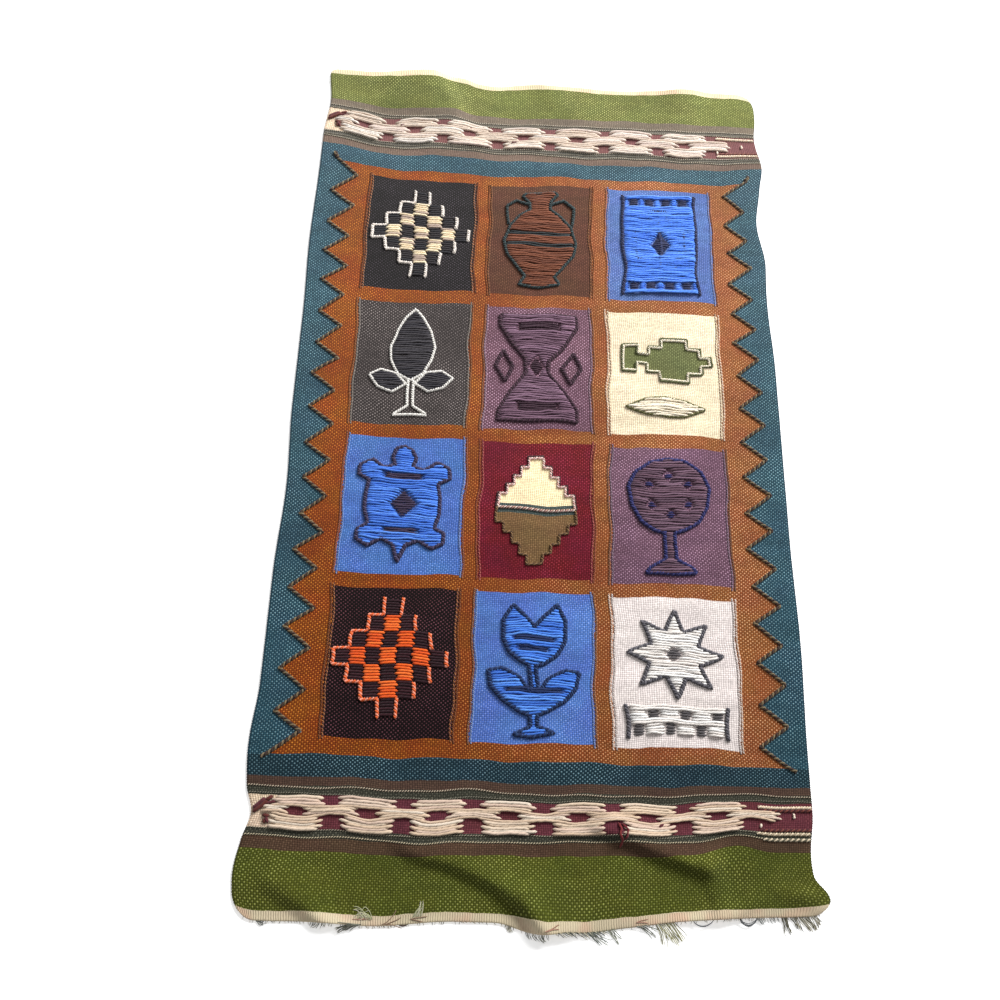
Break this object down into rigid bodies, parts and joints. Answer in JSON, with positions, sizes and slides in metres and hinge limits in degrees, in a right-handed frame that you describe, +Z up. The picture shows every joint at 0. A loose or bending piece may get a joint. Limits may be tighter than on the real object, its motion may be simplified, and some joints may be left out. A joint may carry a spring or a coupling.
{
  "type": "woven tapestry",
  "caption": "Handwoven rectangular tapestry laid flat: coloured squares in a rust field with zigzag teal borders, float-woven chain bands, green ends, and a hem of frayed warp ends.",
  "frame": {"origin": "on the ground, under the middle of the box round the laid tapestry", "axes": "+Z up out of the cloth's face, +Y along the warp from the frayed hem to the heading, +X to the right across the weft"},
  "size_m": [0.6164, 1.1294, 0.0145],
  "materials": {
    "woven_yarn": "weft-faced plain weave in dyed wool or acrylic yarn on a cream warp, matt, with thick raised weft floats and twisted outline yarns",
    "warp_yarn": "loose frayed cotton warp ends, cream with some dark grey-green yarn"
  },
  "bodies": {
    "root": {"cloth": "woven_yarn", "fringe": "warp_yarn"}
  },
  "joints": []
}
